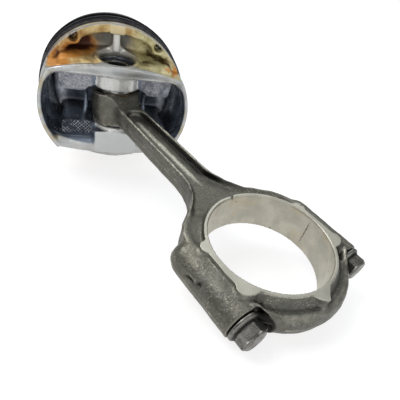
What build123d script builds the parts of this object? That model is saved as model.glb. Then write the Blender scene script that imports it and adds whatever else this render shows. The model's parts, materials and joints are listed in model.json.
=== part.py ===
from build123d import *
from math import cos, radians, sin
import os

os.makedirs("parts", exist_ok=True)

# Main sizes, in millimetres and degrees. Heights are measured from the wrist pin towards the crown.
CYLINDER_BORE = 94.0
ROD_LENGTH = 149.0  # between the two bore centres
BIG_END_BORE = 58.5
BIG_END_WIDTH = 20.0
PIN_DIAMETER = 22.0
PIN_LENGTH = 50.4
RUNNING_GAP = 0.03  # radial, pin in its bores

# How the assembly lies: on a ring and two corners of the big end. The rod dips towards
# the big end and rolls to one side, and the piston is turned on its pin.
ROD_DIP = 10.67
ROD_ROLL = 7.18
PISTON_SWING = 23.1
BIG_END_CENTRE = (77.53, -3.15, 16.91)

# Piston
CROWN_HEIGHT = 30.0
SKIRT_END = -13.8
SKIRT_RADIUS = CYLINDER_BORE / 2 - 0.03
LAND_RADIUS = CYLINDER_BORE / 2 - 0.3
LEDGE_HEIGHT = 6.0  # underside of the ring belt, over the side walls
POCKET_ROOF = 17.5
POCKET_RADIUS = 42.0
WALL_REACH = 28.2  # side wall, from the piston's axis
WALL_ARC_RADIUS = 134.0  # the side walls bow outwards
UPPER_RIM = (29.4, 134.0)  # reach and bow of the rim along each wall's edge
LOWER_RIM = (31.8, 190.0)
RIM_HEIGHT = -9.0
CAVITY_RADIUS = 44.8
CAVITY_REACH = 21.8
CAVITY_TAPER = 8.0
UNDERCROWN = 22.5
BOSS_RADIUS = 14.3
BOSS_DEPTH = 13.1  # inside, where the boss stands back from the open end
BOSS_NECK = 25.6
BOSS_GAP = 25.2  # between the two pin bosses
BOSS_REACH = 29.4
SHELF_HEIGHT = -6.5  # corner shelves beside the bosses
SHELF_SPREAD = 35.0
SHELF_LENGTH = 22.0
SHELF_REACH = (11.6, 28.0)
SHELF_LIP = (9.0, 18.0)  # the upper two shelves reach further in, clear of the rod
SHELF_LIP_TOP = 4.0
PAD_WIDTH = 27.0
DRAIN_ANGLE = 35.5
DRAIN_CENTRE = 44.6
DRAIN_RADIUS = 2.8
RIB_HEIGHT = 10.5

# Ring grooves: height of the middle, width, root radius
TOP_GROOVE = (23.2, 1.20, 43.2)
SECOND_GROOVE = (17.55, 1.50, 42.9)
OIL_GROOVE = (12.9, 2.80, 43.6)
RING_RADIUS = CYLINDER_BORE / 2 + 0.9  # rings spring out past the piston
RING_SIDE_GAP = 0.04
RAIL_THICKNESS = 0.45

# Circlips
WIRE_RADIUS = 0.6
CLIP_GROOVE_REACH = PIN_LENGTH / 2 + 0.25 + WIRE_RADIUS
CLIP_GROOVE_RADIUS = 11.75
CLIP_GAP_ANGLE = 56.0

# Connecting rod
BORE_RADIUS = BIG_END_BORE / 2
EYE_RADIUS = 15.3
EYE_WIDTH = 21.6
BUSHING_RADIUS = 12.0
# The small end is a keystone: its side faces slope, and it is narrow towards the crown.
EYE_CROWN_EDGE = (-ROD_LENGTH - EYE_RADIUS, 5.2)
EYE_SHANK_EDGE = (-ROD_LENGTH + EYE_RADIUS - 5, EYE_WIDTH / 2)
SHANK_HALF_WIDTH = 8.0  # at the eye
SHANK_ROOT_WIDTH = 8.9  # where the flare starts
FLARE_START = -60.0
FLARE_END = (-31.0, 23.6)
SHOULDER = (-25.0, 32.0)
SHANK_HALF_DEPTH = 6.0
RECESS_END = -121.0
FLARE_HALF_DEPTH = 7.6
WEB_HALF_DEPTH = 1.9
FLANGE_WIDTH = 2.3
THRUST_RADIUS = 31.0
EAR_TIP = (36.0, -2.6)  # small ear of the cap's thrust face
BOLT_SPREAD = 34.5
BARREL_RADIUS = 8.1
BARREL_START = -13.0  # a dome closes it
SHOULDER_HALF_DEPTH = 6.6
BOLT_SEAT = 21.6
SEAT_POCKET_RADIUS = 9.8
SHOULDER_SPREAD = 31.9
# Side view of the shoulders that fall away round the bolts' pockets.
POCKET_SLOPE = ((0, 0), (0, 9.0), (BOLT_SEAT, 9.0), (25, 7.3), (28, 4.8), (30.5, 2.0), (30.5, 0))
CAP_RADIUS = 39.2

# Cap bolts
THREAD_RADIUS = 4.5
BOLT_TIP = -16.5
BOLT_HOLE_DEPTH = 17.5
FLANGE_RADIUS = 7.5
FLANGE_THICKNESS = 1.9
SEAT_STEP = 0.7  # raised seat under the flange
HEX_ACROSS_FLATS = 11.0
HEAD_HEIGHT = 8.8

# Frames. ROD: X from the eye to the big end, Z up along the bores.
# PISTON: origin on the pin, X along the pin, Z towards the crown.
ALONG_ROD = Vector(cos(radians(ROD_DIP)), 0, -sin(radians(ROD_DIP)))
UPRIGHT = Vector(sin(radians(ROD_DIP)), 0, cos(radians(ROD_DIP)))
ROD = Plane(
    origin=BIG_END_CENTRE,
    x_dir=ALONG_ROD,
    z_dir=UPRIGHT * cos(radians(ROD_ROLL)) - Vector(0, 1, 0) * sin(radians(ROD_ROLL)),
)
EYE_CENTRE = ROD.from_local_coords(Vector(-ROD_LENGTH, 0, 0))
CROWN_WAY = ROD.y_dir * sin(radians(PISTON_SWING)) - ROD.x_dir * cos(radians(PISTON_SWING))
PISTON = Plane(origin=EYE_CENTRE, x_dir=ROD.z_dir, z_dir=CROWN_WAY)
EYE = Plane(origin=EYE_CENTRE, x_dir=ROD.x_dir, z_dir=ROD.z_dir)
CYLINDER_AXIS = Axis(PISTON.origin, PISTON.z_dir)
BORE_AXIS = Axis(ROD.origin, ROD.z_dir)

# Section planes: X across and Y along the axis named.
PISTON_SECTION = Plane(origin=PISTON.origin, x_dir=PISTON.x_dir, z_dir=PISTON.y_dir * -1)
ROD_SIDE = Plane(origin=ROD.origin, x_dir=ROD.x_dir, z_dir=ROD.y_dir * -1)


def across_pin(reach, side=1):
    """Plane square to the pin at a distance along it; Y towards the crown, Z outwards."""
    across = PISTON.y_dir * side
    place = PISTON.from_local_coords(Vector(side * reach, 0, 0))
    return Plane(origin=place, x_dir=across, z_dir=PISTON.x_dir * side)


def across_rod(distance, spread=0.0):
    """Plane square to the rod at a distance from the big end's bore; Y up, Z from the eye outwards."""
    place = ROD.from_local_coords(Vector(distance, spread, 0))
    return Plane(origin=place, x_dir=ROD.y_dir, z_dir=ROD.x_dir)


def groove_profile(groove, outer_radius, inner_radius, gap):
    """Rectangle of a ring that fills a groove but for the gap above and below it."""
    height, width, _ = groove
    thickness = width - 2 * gap
    with Locations(((outer_radius + inner_radius) / 2, height)):
        Rectangle(outer_radius - inner_radius, thickness)


# ---------------------------------------------------------------- piston
with BuildPart() as piston:
    # Turned outside: skirt, ring belt and crown edge.
    with BuildSketch(PISTON_SECTION):
        with BuildLine():
            Polyline(
                (0, SKIRT_END),
                (SKIRT_RADIUS - 0.5, SKIRT_END),
                (SKIRT_RADIUS, SKIRT_END + 2.0),
                (SKIRT_RADIUS, LEDGE_HEIGHT + 0.6),
                (LAND_RADIUS, LEDGE_HEIGHT + 1.4),
                (LAND_RADIUS, CROWN_HEIGHT - 0.6),
                (LAND_RADIUS - 0.6, CROWN_HEIGHT),
                (0, CROWN_HEIGHT),
                close=True,
            )
        make_face()
    revolve(axis=CYLINDER_AXIS)

    for side, rim in ((1, UPPER_RIM), (-1, LOWER_RIM)):
        # Outside of the side wall, below the ring belt, with a rim along the open end.
        for start, stop, (reach, bow) in (
            (SKIRT_END, RIM_HEIGHT, rim),
            (RIM_HEIGHT, LEDGE_HEIGHT, (WALL_REACH, WALL_ARC_RADIUS)),
        ):
            with BuildSketch(PISTON.offset(start)):
                with Locations((side * 40, 0)):
                    Rectangle(60, 120)
                with Locations((side * (reach - bow), 0)):
                    Circle(bow, mode=Mode.SUBTRACT)
            extrude(amount=stop - start, mode=Mode.SUBTRACT)
        # Cast pocket behind the ring belt.
        with BuildSketch(PISTON.offset(LEDGE_HEIGHT)):
            Circle(POCKET_RADIUS)
            with Locations((side * (WALL_REACH - WALL_ARC_RADIUS), 0)):
                Circle(WALL_ARC_RADIUS, mode=Mode.SUBTRACT)
        extrude(amount=POCKET_ROOF - LEDGE_HEIGHT, taper=9, mode=Mode.SUBTRACT)

    # Inside, open at the skirt's end, drafted as it was cast.
    with BuildSketch(PISTON.offset(SKIRT_END)) as mouth:
        Circle(CAVITY_RADIUS)
        Rectangle(2 * CAVITY_REACH, 100, mode=Mode.INTERSECT)
        fillet(mouth.vertices(), 11)
    extrude(amount=UNDERCROWN - SKIRT_END, taper=CAVITY_TAPER, mode=Mode.SUBTRACT)
    # Solid corners beside the bosses leave shelves just inside the open end.
    with BuildSketch(PISTON.offset(SHELF_HEIGHT)):
        inner, outer = SHELF_REACH
        with GridLocations(inner + outer, 2 * SHELF_SPREAD - SHELF_LENGTH, 2, 2):
            RectangleRounded(outer - inner, SHELF_LENGTH, 4)
    extrude(amount=UNDERCROWN - SHELF_HEIGHT + 1)
    with BuildSketch(PISTON.offset(SHELF_HEIGHT)):
        reach, spread = SHELF_LIP
        for way in (1, -1):
            with Locations(((reach + inner + 4) / 2, way * (spread + SHELF_SPREAD - 1) / 2)):
                RectangleRounded(inner + 4 - reach, SHELF_SPREAD - 1 - spread, 2)
    extrude(amount=SHELF_LIP_TOP - SHELF_HEIGHT)

    for side in (1, -1):
        # Pin boss, with its neck to the crown and its flat outer pad.
        with BuildSketch(across_pin(BOSS_GAP / 2, side)):
            Ellipse(BOSS_RADIUS, BOSS_DEPTH)
            with Locations((0, UNDERCROWN / 2)):
                Rectangle(BOSS_NECK, UNDERCROWN + 2)
        extrude(amount=WALL_REACH - BOSS_GAP / 2 - 3)
        with BuildSketch(across_pin(WALL_REACH - 4, side)):
            Circle(BOSS_RADIUS - 0.7)
            with Locations((0, SKIRT_END)):
                Rectangle(60, 4, align=(Align.CENTER, Align.MAX), mode=Mode.SUBTRACT)
        extrude(amount=BOSS_REACH - WALL_REACH + 4)
        # Rib from the boss to the ring belt.
        with BuildSketch(PISTON.offset(RIB_HEIGHT)):
            with Locations((side * 35.5, 0)):
                Rectangle(15, 4.4)
        extrude(amount=POCKET_ROOF - RIB_HEIGHT + 1)
        # Pad on the ledge over the rib.
        with BuildSketch(PISTON.offset(LEDGE_HEIGHT + 3)):
            with Locations((side * 43.7, 0)):
                RectangleRounded(5.2, 9, 1.2)
        extrude(amount=-3.8)
        # Column round each oil drain.
        with BuildSketch(PISTON.offset(LEDGE_HEIGHT)):
            for turn in (DRAIN_ANGLE, -DRAIN_ANGLE):
                with Locations(Rotation(0, 0, turn) * Location((side * (DRAIN_CENTRE - 0.8), 0))):
                    Circle(DRAIN_RADIUS + 1.3)
            Circle(POCKET_RADIUS + 0.5, mode=Mode.INTERSECT)
        extrude(amount=POCKET_ROOF - LEDGE_HEIGHT)

    # Balance pad, flush with the open end, on the lower boss.
    with BuildSketch(PISTON.offset(SKIRT_END)):
        with Locations((-BOSS_GAP / 2 - 2.4, -1.5)):
            Rectangle(12, PAD_WIDTH, align=(Align.MAX, Align.CENTER))
    extrude(amount=6)

    # Oil drains from the oil groove to the ledge.
    with BuildSketch(PISTON.offset(LEDGE_HEIGHT)):
        for turn in (DRAIN_ANGLE, -DRAIN_ANGLE, 180 + DRAIN_ANGLE, 180 - DRAIN_ANGLE):
            with Locations(Rotation(0, 0, turn) * Location((DRAIN_CENTRE, 0))):
                Circle(DRAIN_RADIUS)
        Circle(LAND_RADIUS - 0.8, mode=Mode.INTERSECT)
    extrude(amount=OIL_GROOVE[0] - LEDGE_HEIGHT, mode=Mode.SUBTRACT)

    # Ring grooves.
    with BuildSketch(PISTON_SECTION):
        for groove in (TOP_GROOVE, SECOND_GROOVE, OIL_GROOVE):
            groove_profile(groove, LAND_RADIUS + 1, groove[2], 0)
    revolve(axis=CYLINDER_AXIS, mode=Mode.SUBTRACT)

    # Dished crown with four valve pockets.
    with BuildSketch(PISTON.offset(CROWN_HEIGHT)):
        Circle(34)
    extrude(amount=-1.2, mode=Mode.SUBTRACT)
    with BuildSketch(PISTON.offset(CROWN_HEIGHT)):
        with Locations((17.5, 19), (-17.5, 19)):
            Circle(17)
        with Locations((16, -21), (-16, -21)):
            Circle(14.5)
        Circle(LAND_RADIUS - 3.2, mode=Mode.INTERSECT)
    extrude(amount=-1.9, mode=Mode.SUBTRACT)

    # Pin bore with chamfered mouths and circlip grooves.
    bore_wall = PIN_DIAMETER / 2 + RUNNING_GAP
    with BuildSketch(PISTON_SECTION):
        with BuildLine():
            Polyline(
                (-BOSS_REACH - 0.1, 0),
                (-BOSS_REACH - 0.1, bore_wall + 0.6),
                (-BOSS_REACH + 0.7, bore_wall),
                (-CLIP_GROOVE_REACH - WIRE_RADIUS, bore_wall),
                (-CLIP_GROOVE_REACH - WIRE_RADIUS, CLIP_GROOVE_RADIUS),
                (-CLIP_GROOVE_REACH + WIRE_RADIUS, CLIP_GROOVE_RADIUS),
                (-CLIP_GROOVE_REACH + WIRE_RADIUS, bore_wall),
                (-BOSS_GAP / 2 - 0.4, bore_wall),
                (-BOSS_GAP / 2, bore_wall + 0.4),
                (BOSS_GAP / 2, bore_wall + 0.4),
                (BOSS_GAP / 2 + 0.4, bore_wall),
                (CLIP_GROOVE_REACH - WIRE_RADIUS, bore_wall),
                (CLIP_GROOVE_REACH - WIRE_RADIUS, CLIP_GROOVE_RADIUS),
                (CLIP_GROOVE_REACH + WIRE_RADIUS, CLIP_GROOVE_RADIUS),
                (CLIP_GROOVE_REACH + WIRE_RADIUS, bore_wall),
                (BOSS_REACH - 0.7, bore_wall),
                (BOSS_REACH + 0.1, bore_wall + 0.6),
                (BOSS_REACH + 0.1, 0),
                close=True,
            )
        make_face()
    revolve(axis=Axis(PISTON.origin, PISTON.x_dir), mode=Mode.SUBTRACT)

piston.part.label = "piston"
export_step(piston.part, "parts/piston.step")


# ---------------------------------------------------------------- piston rings
def cut_ring_gap(turn, width):
    """Cut a ring through at a turn about the cylinder's axis."""
    with BuildSketch(PISTON) as gap:
        with Locations(Rotation(0, 0, turn) * Location((RING_RADIUS, 0))):
            Rectangle(14, width)
    extrude(gap.sketch, amount=CROWN_HEIGHT, mode=Mode.SUBTRACT)


with BuildPart() as top_ring:
    with BuildSketch(PISTON_SECTION):
        groove_profile(TOP_GROOVE, RING_RADIUS, RING_RADIUS - 3.1, RING_SIDE_GAP)
    revolve(axis=CYLINDER_AXIS)
    cut_ring_gap(118, 3.2)
top_ring.part.label = "top_compression_ring"
export_step(top_ring.part, "parts/top_compression_ring.step")

with BuildPart() as second_ring:
    with BuildSketch(PISTON_SECTION):
        groove_profile(SECOND_GROOVE, RING_RADIUS, RING_RADIUS - 3.5, RING_SIDE_GAP)
    revolve(axis=CYLINDER_AXIS)
    cut_ring_gap(-62, 3.6)
second_ring.part.label = "second_compression_ring"
export_step(second_ring.part, "parts/second_compression_ring.step")

for name, way, turn in (("oil_ring_upper_rail", 1, 200), ("oil_ring_lower_rail", -1, 152)):
    with BuildPart() as rail:
        rail_middle = OIL_GROOVE[0] + way * (OIL_GROOVE[1] / 2 - RING_SIDE_GAP - RAIL_THICKNESS / 2)
        with BuildSketch(PISTON_SECTION):
            groove_profile((rail_middle, RAIL_THICKNESS, 0), RING_RADIUS, RING_RADIUS - 2.4, 0)
        revolve(axis=CYLINDER_AXIS)
        cut_ring_gap(turn, 3.0)
    rail.part.label = name
    export_step(rail.part, f"parts/{name}.step")

with BuildPart() as expander:
    expander_width = OIL_GROOVE[1] - 2 * RAIL_THICKNESS - 4 * RING_SIDE_GAP
    with BuildSketch(PISTON_SECTION):
        groove_profile((OIL_GROOVE[0], expander_width, 0), RING_RADIUS - 0.9, OIL_GROOVE[2] + 0.2, 0)
    revolve(axis=CYLINDER_AXIS)
    # Slots that open to the top and to the bottom by turns.
    slot_count = 36
    for way in (1, -1):
        with BuildSketch(PISTON.offset(OIL_GROOVE[0] - way * 0.25)):
            with PolarLocations(RING_RADIUS - 2, slot_count, start_angle=0 if way > 0 else 180 / slot_count):
                Rectangle(9, 1.7)
        extrude(amount=way * 2, mode=Mode.SUBTRACT)
    cut_ring_gap(20, 0.6)
expander.part.label = "oil_ring_expander"
export_step(expander.part, "parts/oil_ring_expander.step")

# ---------------------------------------------------------------- wrist pin and circlips
with BuildPart() as wrist_pin:
    with BuildSketch(EYE.offset(-PIN_LENGTH / 2)):
        Circle(PIN_DIAMETER / 2)
        Circle(6.4, mode=Mode.SUBTRACT)
    extrude(amount=PIN_LENGTH)
    chamfer(wrist_pin.edges().filter_by(GeomType.CIRCLE), 0.6)
wrist_pin.part.label = "wrist_pin"
export_step(wrist_pin.part, "parts/wrist_pin.step")

for name, side in (("circlip_upper", 1), ("circlip_lower", -1)):
    with BuildPart() as circlip:
        with BuildSketch(PISTON_SECTION):
            with Locations((side * CLIP_GROOVE_REACH, CLIP_GROOVE_RADIUS - WIRE_RADIUS)):
                Circle(WIRE_RADIUS - 0.01)
        revolve(axis=Axis(PISTON.origin, PISTON.x_dir), revolution_arc=360 - CLIP_GAP_ANGLE)
    circlip.part.label = name
    export_step(circlip.part, f"parts/{name}.step")

# ---------------------------------------------------------------- small-end bushing
with BuildPart() as bushing:
    with BuildSketch(EYE.offset(-EYE_WIDTH / 2)):
        Circle(BUSHING_RADIUS)
        Circle(PIN_DIAMETER / 2 + RUNNING_GAP, mode=Mode.SUBTRACT)
    extrude(amount=EYE_WIDTH)
    # Cut off along the small end's slopes.
    with BuildSketch(ROD_SIDE):
        with BuildLine():
            Polyline(
                EYE_CROWN_EDGE,
                EYE_SHANK_EDGE,
                (0, EYE_SHANK_EDGE[1]),
                (0, 0),
                (EYE_CROWN_EDGE[0], 0),
                close=True,
            )
        make_face()
        mirror(about=Plane.XZ)
    extrude(amount=EYE_WIDTH, both=True, mode=Mode.INTERSECT)
bushing.part.label = "small_end_bushing"
export_step(bushing.part, "parts/small_end_bushing.step")


# ---------------------------------------------------------------- connecting rod
def shank_corners(inset):
    """Root and tip of the flare, and the shoulder, moved inwards by the width of a flange."""
    corners = ((FLARE_START, SHANK_ROOT_WIDTH), FLARE_END, SHOULDER)
    inward = ((0, -inset), (-0.8 * inset, -0.6 * inset), (-0.8 * inset, -0.6 * inset))
    return [(x + dx, y + dy) for (x, y), (dx, dy) in zip(corners, inward)]


def barrels(start, stop):
    """Barrels round the two cap bolts."""
    for spread in (BOLT_SPREAD, -BOLT_SPREAD):
        with BuildSketch(across_rod(start, spread)) as section:
            Circle(BARREL_RADIUS)
        extrude(section.sketch, amount=stop - start)


def bolt_holes(start, stop, radius):
    """Straight holes along the two cap bolts."""
    for spread in (BOLT_SPREAD, -BOLT_SPREAD):
        with BuildSketch(across_rod(start, spread)) as section:
            Circle(radius)
        extrude(section.sketch, amount=stop - start, mode=Mode.SUBTRACT)


def big_end_bore():
    """Big end's bore with its chamfers."""
    edge = BIG_END_WIDTH / 2
    with BuildSketch(ROD_SIDE) as section:
        with BuildLine():
            Polyline(
                (0, -edge - 0.1),
                (BORE_RADIUS + 0.7, -edge - 0.1),
                (BORE_RADIUS, -edge + 0.6),
                (BORE_RADIUS, edge - 0.6),
                (BORE_RADIUS + 0.7, edge + 0.1),
                (0, edge + 0.1),
                close=True,
            )
        make_face()
    revolve(section.sketch, axis=BORE_AXIS, mode=Mode.SUBTRACT)


def thrust_faces():
    """Machined faces of the big end: a narrow ring with straight sides and four lobes."""
    with BuildSketch(ROD.offset(-BIG_END_WIDTH / 2)) as section:
        Circle(THRUST_RADIUS)
        with Locations((2.5, 0)):
            RectangleRounded(31, 2 * THRUST_RADIUS + 1.2, 3)
        with Locations((-9.4, 0), (14.0, 0)):
            RectangleRounded(6.8, 2 * THRUST_RADIUS + 3.6, 2.9)
        with BuildLine():
            Polyline((29.5, -7.5), (34.2, -4.4), EAR_TIP, (34.0, -0.2), (30.5, 4.5), (28.5, 0), (29.5, -7.5))
        make_face()
    extrude(section.sketch, amount=BIG_END_WIDTH)


def keep_half(side):
    """Cut away what lies across the split, which runs through the big end's centre."""
    with BuildSketch(across_rod(0)) as section:
        Rectangle(140, 60)
    extrude(section.sketch, amount=-side * 60, mode=Mode.SUBTRACT)


with BuildPart() as recess:
    # Hollow between the flanges on the upper face; its floor climbs to the thrust face.
    floor_half_width = SHANK_HALF_WIDTH - FLANGE_WIDTH
    root, flare, shoulder = shank_corners(FLANGE_WIDTH)
    with BuildSketch(ROD):
        with BuildLine():
            edge = Line((RECESS_END, floor_half_width), root)
            TangentArc(root, flare, tangent=edge % 1)
            Polyline(flare, shoulder, (shoulder[0] + 9, 0), (RECESS_END - floor_half_width, 0))
            RadiusArc((RECESS_END - floor_half_width, 0), (RECESS_END, floor_half_width), floor_half_width)
        make_face()
        mirror(about=Plane.XZ)
    extrude(amount=12)
    with BuildSketch(ROD_SIDE):
        with BuildLine():
            Polyline(
                (RECESS_END - 10, 12),
                (RECESS_END - 10, WEB_HALF_DEPTH + 1.5),
                (RECESS_END - 4, WEB_HALF_DEPTH),
                (-56, WEB_HALF_DEPTH),
                (-35, 4.4),
                (-15, 8.6),
                (-15, 12),
                close=True,
            )
        make_face()
    extrude(amount=60, both=True, mode=Mode.INTERSECT)
    with BuildSketch(ROD):
        Circle(THRUST_RADIUS + 0.4)
    extrude(amount=12, mode=Mode.SUBTRACT)

with BuildPart() as connecting_rod:
    # Eye, shank, flare and shoulders.
    root, flare, shoulder = shank_corners(0)
    with BuildSketch(ROD.offset(-EYE_WIDTH / 2)) as plan:
        with BuildLine():
            edge = Line((-ROD_LENGTH, SHANK_HALF_WIDTH), root)
            TangentArc(root, flare, tangent=edge % 1)
            Polyline(
                flare,
                shoulder,
                (BARREL_START - 5, BOLT_SPREAD),
                (0, BOLT_SPREAD),
                (0, 0),
                (-ROD_LENGTH, 0),
                (-ROD_LENGTH, SHANK_HALF_WIDTH),
            )
        make_face()
        mirror(about=Plane.XZ)
        with Locations((-ROD_LENGTH, 0)):
            Circle(EYE_RADIUS)
        fillet(plan.vertices().filter_by_position(Axis.X, -ROD_LENGTH + 8, -ROD_LENGTH + 16), 12)
    extrude(amount=EYE_WIDTH)
    # Its depth, seen from the side: full at the eye, slim along the shank.
    with BuildSketch(ROD_SIDE):
        with BuildLine():
            Polyline(
                (EYE_CROWN_EDGE[0], 0),
                EYE_CROWN_EDGE,
                EYE_SHANK_EDGE,
                (EYE_SHANK_EDGE[0] + 9, SHANK_HALF_DEPTH),
                (FLARE_START, SHANK_HALF_DEPTH),
                (-34, FLARE_HALF_DEPTH),
                (SHOULDER[0], SHOULDER_HALF_DEPTH),
                (1, SHOULDER_HALF_DEPTH),
                (1, 0),
                close=True,
            )
        make_face()
        mirror(about=Plane.XZ)
    extrude(amount=60, both=True, mode=Mode.INTERSECT)
    add(recess.part, mode=Mode.SUBTRACT)
    add(mirror(recess.part, about=ROD, mode=Mode.PRIVATE), mode=Mode.SUBTRACT)
    thrust_faces()
    keep_half(-1)
    barrels(BARREL_START, 0)
    for spread in (BOLT_SPREAD, -BOLT_SPREAD):
        with Locations(across_rod(BARREL_START, spread).location):
            Sphere(BARREL_RADIUS)
    big_end_bore()
    bolt_holes(-BOLT_HOLE_DEPTH, 0, THREAD_RADIUS)
    with BuildSketch(EYE.offset(-EYE_WIDTH / 2)):
        Circle(BUSHING_RADIUS)
    extrude(amount=EYE_WIDTH, mode=Mode.SUBTRACT)
    # Oil notch across the upper thrust face, in line with the shank.
    with BuildSketch(across_rod(-THRUST_RADIUS - 1, 1.8)):
        with Locations((0, BIG_END_WIDTH / 2)):
            Circle(1.1)
    extrude(amount=3, mode=Mode.SUBTRACT)
connecting_rod.part.label = "connecting_rod"
export_step(connecting_rod.part, "parts/connecting_rod.step")

# ---------------------------------------------------------------- big-end cap
with BuildPart() as pocket_shoulders:
    # High by the thrust faces, falling away round the pockets of the bolt heads.
    with BuildSketch(ROD.offset(-BIG_END_WIDTH / 2)):
        Circle(CAP_RADIUS - 0.5)
        Rectangle(CAP_RADIUS, 2 * SHOULDER_SPREAD, align=(Align.MIN, Align.CENTER), mode=Mode.INTERSECT)
    extrude(amount=BIG_END_WIDTH)
    with BuildSketch(ROD_SIDE):
        with BuildLine():
            Polyline(*POCKET_SLOPE, close=True)
        make_face()
        mirror(about=Plane.XZ)
    extrude(amount=CAP_RADIUS, both=True, mode=Mode.INTERSECT)

with BuildPart() as rod_cap:
    # Strap, falling away from the thrust faces to a narrow outer edge.
    with BuildSketch(ROD_SIDE):
        with BuildLine():
            Polyline(
                (BORE_RADIUS - 1, 0),
                (BORE_RADIUS - 1, 8.8),
                (THRUST_RADIUS + 0.6, 8.8),
                (CAP_RADIUS - 4.5, 6.0),
                (CAP_RADIUS - 0.8, 3.4),
                (CAP_RADIUS, 1.4),
                (CAP_RADIUS, 0),
                close=True,
            )
        make_face()
        mirror(about=Plane.XZ)
    revolve(axis=BORE_AXIS)
    # Shoulders between the strap and the barrels.
    with BuildSketch(ROD.offset(-SHOULDER_HALF_DEPTH)):
        Rectangle(BOLT_SEAT, 2 * BOLT_SPREAD, align=(Align.MIN, Align.CENTER))
    extrude(amount=2 * SHOULDER_HALF_DEPTH)
    add(pocket_shoulders.part)
    thrust_faces()
    keep_half(1)
    barrels(0, BOLT_SEAT)
    # Spot faces that seat the bolt heads.
    bolt_holes(BOLT_SEAT, CAP_RADIUS + 2, SEAT_POCKET_RADIUS)
    big_end_bore()
    bolt_holes(0, BOLT_SEAT, THREAD_RADIUS + 0.25)
rod_cap.part.label = "rod_cap"
export_step(rod_cap.part, "parts/rod_cap.step")

# ---------------------------------------------------------------- cap bolts
for name, spread, turn in (("cap_bolt_near", -BOLT_SPREAD, 27), ("cap_bolt_far", BOLT_SPREAD, 12)):
    with BuildPart() as bolt:
        with BuildSketch(across_rod(BOLT_TIP, spread)):
            Circle(THREAD_RADIUS)
        extrude(amount=-BOLT_TIP)
        with BuildSketch(across_rod(0, spread)):
            Circle(THREAD_RADIUS - 0.2)
        extrude(amount=BOLT_SEAT)
        with BuildSketch(across_rod(BOLT_SEAT, spread)):
            Circle(FLANGE_RADIUS - 1.1)
        extrude(amount=SEAT_STEP)
        with BuildSketch(across_rod(BOLT_SEAT + SEAT_STEP, spread)):
            Circle(FLANGE_RADIUS)
        extrude(amount=FLANGE_THICKNESS - SEAT_STEP)
        with BuildSketch(across_rod(BOLT_SEAT + FLANGE_THICKNESS, spread)):
            Circle(FLANGE_RADIUS)
        extrude(amount=1.2, taper=50)
        with BuildSketch(across_rod(BOLT_SEAT + FLANGE_THICKNESS, spread)):
            RegularPolygon(HEX_ACROSS_FLATS / 2, 6, major_radius=False, rotation=turn)
        extrude(amount=HEAD_HEIGHT - FLANGE_THICKNESS - 0.8)
        with BuildSketch(across_rod(BOLT_SEAT + HEAD_HEIGHT - 0.8, spread)):
            Circle(HEX_ACROSS_FLATS / 2)
        extrude(amount=0.8, taper=35)
    bolt.part.label = name
    export_step(bolt.part, f"parts/{name}.step")
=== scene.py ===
import json
import math

import bmesh
import bpy
import numpy as np
from mathutils import Matrix, Vector


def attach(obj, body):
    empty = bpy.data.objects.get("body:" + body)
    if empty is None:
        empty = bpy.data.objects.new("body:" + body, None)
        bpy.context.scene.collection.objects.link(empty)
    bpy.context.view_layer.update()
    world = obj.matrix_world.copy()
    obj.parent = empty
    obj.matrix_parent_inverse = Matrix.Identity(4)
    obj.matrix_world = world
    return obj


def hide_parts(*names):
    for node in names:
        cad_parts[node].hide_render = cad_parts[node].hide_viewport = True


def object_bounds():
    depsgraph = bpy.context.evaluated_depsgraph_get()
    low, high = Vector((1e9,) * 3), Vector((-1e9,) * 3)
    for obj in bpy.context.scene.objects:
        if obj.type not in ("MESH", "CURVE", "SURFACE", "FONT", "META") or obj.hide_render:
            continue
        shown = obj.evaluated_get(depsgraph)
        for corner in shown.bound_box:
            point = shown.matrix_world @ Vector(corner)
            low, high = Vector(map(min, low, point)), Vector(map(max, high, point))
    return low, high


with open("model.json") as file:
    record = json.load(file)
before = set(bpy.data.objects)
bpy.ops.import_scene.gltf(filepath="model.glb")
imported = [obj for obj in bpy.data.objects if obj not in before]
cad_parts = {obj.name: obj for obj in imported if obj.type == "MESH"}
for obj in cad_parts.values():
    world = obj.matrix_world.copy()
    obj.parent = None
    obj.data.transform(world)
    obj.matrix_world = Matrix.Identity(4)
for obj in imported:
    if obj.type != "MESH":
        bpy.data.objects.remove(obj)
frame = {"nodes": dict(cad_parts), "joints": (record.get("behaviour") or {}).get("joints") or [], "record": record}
cad_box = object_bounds()
nodes = frame["nodes"]
record = frame["record"]

# ---------------------------------------------------------------- frames, in metres
joints = {joint["name"]: joint for joint in frame["joints"]}
mounts = {mount["name"]: mount for mount in record["mounts"]}
eye_centre = np.array(joints["piston_swing"]["pos_m"])
pin_way = np.array(joints["piston_swing"]["axis"])
crown_way = np.array(joints["top_ring_turn"]["axis"])
big_end_centre = np.array(mounts["big_end_bore"]["pos_m"])
rod_length = np.linalg.norm(big_end_centre - eye_centre)
rod_way = (big_end_centre - eye_centre) / rod_length
rod_side = np.cross(pin_way, rod_way)

# Each part has a frame of its own, in which its pieces are worked out in millimetres: its origin and
# three axes, as columns. In ROD, x, y and z run along the rod, to its side and along its bores. In PISTON,
# a, b and c run along the wrist pin, across it and towards the crown.
ROD = (big_end_centre, np.column_stack([rod_way, rod_side, pin_way]))
PISTON = (eye_centre, np.column_stack([pin_way, np.cross(crown_way, pin_way), crown_way]))
MM = 1000.0

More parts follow.
